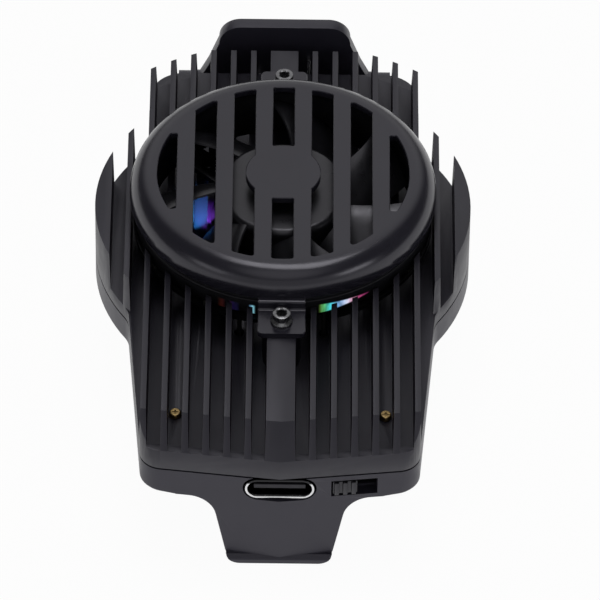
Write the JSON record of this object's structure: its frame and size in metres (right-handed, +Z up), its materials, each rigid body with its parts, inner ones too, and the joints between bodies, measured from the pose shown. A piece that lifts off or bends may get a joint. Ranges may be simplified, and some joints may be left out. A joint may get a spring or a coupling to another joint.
{
  "type": "phone cooling fan",
  "caption": "Clip-on phone cooler: finned heat sink, fan under a round slotted cover, thermoelectric cold plate, fixed front jaw and sprung rear lever.",
  "frame": {"origin": "on the fan's axis, on the cold plate's face that lies against the phone", "axes": "+Z up the fan's axis away from the phone, +Y towards the sprung lever, +X to the right seen from the socket end"},
  "size_m": [0.0496, 0.0807, 0.0288],
  "materials": {
    "sink_black": "satin black die casting",
    "case_black": "fine matt black",
    "cover_black": "satin black",
    "fan_black": "matt black",
    "rotor_black": "smooth black",
    "knob_black": "matt black",
    "ring_clear": "milky light guide, lit in colours",
    "screw_black": "black oxide",
    "screw_brass": "yellow passivated",
    "steel": "plain",
    "plate_aluminium": "fine brushed",
    "ceramic": "white ceramic",
    "pellet": "grey semiconductor",
    "pad_grey": "soft thermal pad",
    "pad_rubber": "matt rubber",
    "foam": "closed-cell foam",
    "board_green": "solder mask",
    "board_black": "black solder mask",
    "chip_black": "moulded",
    "contact_gold": "plated",
    "copper": "enamelled winding",
    "bronze": "sintered",
    "magnet": "bonded ferrite",
    "led": "small light package",
    "wire_black": "insulated",
    "wire_red": "insulated"
  },
  "bodies": {
    "base": {"heat_sink": "sink_black", "base_case": "case_black", "front_jaw_pad": "pad_rubber", "cold_plate": "plate_aluminium", "thermal_pad": "pad_grey", "peltier_hot_plate": "ceramic", "peltier_cold_plate": "ceramic", "peltier_pellets": "pellet", "peltier_leads": "wire_red", "foam_gasket": "foam", "control_board": "board_green", "board_chips": "chip_black", "usb_shell": "steel", "usb_tongue": "chip_black", "usb_contacts": "contact_gold", "switch_body": "steel", "fan_frame": "fan_black", "fan_screws": "screw_black", "motor_board": "board_green", "hall_sensor": "chip_black", "stator_core": "steel", "stator_coils": "copper", "bearing_sleeve": "bronze", "fan_lead": "wire_black", "led_lead": "wire_black", "led_board": "board_black", "led_chips": "led", "light_ring": "ring_clear", "fan_cover": "cover_black", "cover_screws": "screw_black", "case_screws": "screw_brass", "hinge_pin": "steel", "clip_spring": "steel"},
    "rotor": {"fan_rotor": "rotor_black", "rotor_shaft": "steel", "rotor_yoke": "steel", "rotor_magnet": "magnet", "shaft_clip": "steel"},
    "knob": {"switch_knob": "knob_black"},
    "clip": {"clip_lever": "case_black", "rear_jaw_pad": "pad_rubber"}
  },
  "joints": [
    {"name": "fan_spin", "type": "hinge", "parent": "base", "child": "rotor", "pos_m": [0, 0, 0.0129], "axis": [0, 0, 1], "continuous": true},
    {"name": "switch_slide", "type": "slide", "parent": "base", "child": "knob", "axis": [0.9928, 0.1201, 0], "range_m": [0, 0.0024]},
    {"name": "clip_hinge", "type": "hinge", "parent": "base", "child": "clip", "pos_m": [0, 0.0346, 0.0026], "axis": [1, 0, 0], "range_deg": [0, 13], "stiffness_Nm_per_rad": 0.3, "deforming": ["clip_spring"]}
  ]
}
